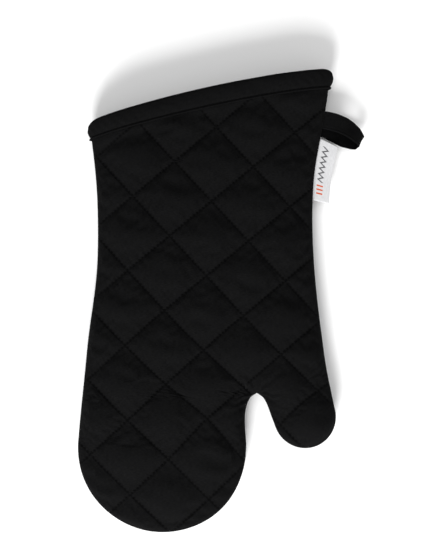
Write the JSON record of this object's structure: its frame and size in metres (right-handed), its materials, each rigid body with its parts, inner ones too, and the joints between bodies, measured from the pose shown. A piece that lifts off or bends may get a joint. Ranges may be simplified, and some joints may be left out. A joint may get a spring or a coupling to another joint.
{
  "type": "oven mitt",
  "caption": "Quilted oven mitt with a finger pocket, a thumb pocket, a slanted bound cuff, a hanging loop and a small side label, lying flat",
  "frame": {"origin": "On the flat rest face of the back panel, under the middle of the palm", "axes": "+Y from the fingertips to the cuff, +X to the thumb side, +Z out of the front panel"},
  "size_m": [0.2088, 0.3584, 0.0329],
  "materials": {
    "outer_cloth": "black cotton, plain weave, quilted in diamonds",
    "batting": "needled cotton batting",
    "lining_cloth": "black cotton lining",
    "binding_tape": "black cotton, cut on the bias and folded",
    "thread": "black polyester sewing thread",
    "label_cloth": null
  },
  "bodies": {
    "palm": {"outer_front_palm": "outer_cloth", "outer_front_knuckle": "outer_cloth", "outer_front_thumb_base": "outer_cloth", "batting_front_palm": "batting", "batting_front_knuckle": "batting", "batting_front_thumb_base": "batting", "lining_front_palm": "lining_cloth", "lining_front_knuckle": "lining_cloth", "lining_front_thumb_base": "lining_cloth", "outer_back_palm": "outer_cloth", "outer_back_knuckle": "outer_cloth", "outer_back_thumb_base": "outer_cloth", "batting_back_palm": "batting", "batting_back_knuckle": "batting", "batting_back_thumb_base": "batting", "lining_back_palm": "lining_cloth", "lining_back_knuckle": "lining_cloth", "lining_back_thumb_base": "lining_cloth", "quilt_thread_front_palm": "thread", "quilt_thread_back_palm": "thread", "seam_thread_palm": "thread", "cuff_binding": "binding_tape", "binding_thread": "thread"},
    "fingers": {"outer_front_fingers": "outer_cloth", "batting_front_fingers": "batting", "lining_front_fingers": "lining_cloth", "outer_back_fingers": "outer_cloth", "batting_back_fingers": "batting", "lining_back_fingers": "lining_cloth", "quilt_thread_front_fingers": "thread", "quilt_thread_back_fingers": "thread", "seam_thread_fingers": "thread"},
    "thumb": {"outer_front_thumb": "outer_cloth", "batting_front_thumb": "batting", "lining_front_thumb": "lining_cloth", "outer_back_thumb": "outer_cloth", "batting_back_thumb": "batting", "lining_back_thumb": "lining_cloth", "quilt_thread_front_thumb": "thread", "quilt_thread_back_thumb": "thread", "seam_thread_thumb": "thread"},
    "hanging_loop": {"hanging_loop": "binding_tape"},
    "side_label": {"side_label": "label_cloth"}
  },
  "joints": [
    {"name": "finger_fold", "type": "hinge", "parent": "palm", "child": "fingers", "pos_m": [-0.0215, -0.088, 0.0155], "axis": [-1, 0, 0], "range_deg": [0, 75], "deforming": ["outer_front_knuckle", "batting_front_knuckle", "lining_front_knuckle", "outer_back_knuckle", "batting_back_knuckle", "lining_back_knuckle"]},
    {"name": "thumb_fold", "type": "hinge", "parent": "palm", "child": "thumb", "pos_m": [0.072, -0.0543, 0.0145], "axis": [-0.9171, -0.3987, 0], "range_deg": [0, 60], "deforming": ["outer_front_thumb_base", "batting_front_thumb_base", "lining_front_thumb_base", "outer_back_thumb_base", "batting_back_thumb_base", "lining_back_thumb_base"]},
    {"name": "loop_swing", "type": "hinge", "parent": "palm", "child": "hanging_loop", "pos_m": [0.0796, 0.1394, 0.013], "axis": [-0.0848, -0.9964, 0], "range_deg": [-15, 75]},
    {"name": "label_flap", "type": "hinge", "parent": "palm", "child": "side_label", "pos_m": [0.07554, 0.1054, 0.013], "axis": [-0.0476, -0.9989, 0], "range_deg": [-85, 95]}
  ]
}
